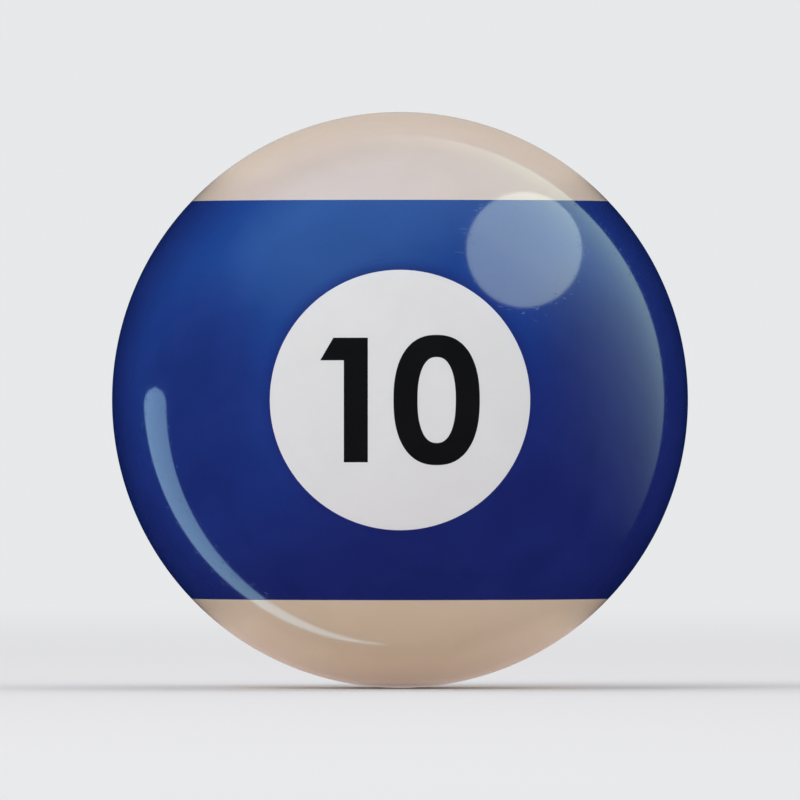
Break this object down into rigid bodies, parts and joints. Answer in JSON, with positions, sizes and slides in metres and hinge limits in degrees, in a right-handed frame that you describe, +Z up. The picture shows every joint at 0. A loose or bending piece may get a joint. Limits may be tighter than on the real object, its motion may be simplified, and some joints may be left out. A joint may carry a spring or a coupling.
{
  "type": "numbered pool ball",
  "caption": "Striped pool ball: cream resin core with both poles, blue stripe ring, and two opposite white number discs with inlaid black digits.",
  "frame": {"origin": "the ball's centre", "axes": "+Z up through the poles, square to the stripe; Y is the axis that both number discs share; the front number faces -Y and reads upright with +X to its right; the back number faces +Y upside down, so a half turn about X swaps the two"},
  "size_m": [0.0572, 0.0572, 0.0572],
  "materials": {
    "cream_resin": "polished cast phenolic resin, cream",
    "blue_resin": "polished cast phenolic resin, royal blue",
    "white_resin": "polished cast phenolic resin, cool white",
    "black_resin": "polished cast phenolic resin, black"
  },
  "bodies": {
    "root": {"cream_core": "cream_resin", "blue_stripe_ring": "blue_resin", "front_number_disc": "white_resin", "front_digit_one": "black_resin", "front_digit_zero": "black_resin", "back_number_disc": "white_resin", "back_digit_one": "black_resin", "back_digit_zero": "black_resin"}
  },
  "joints": []
}
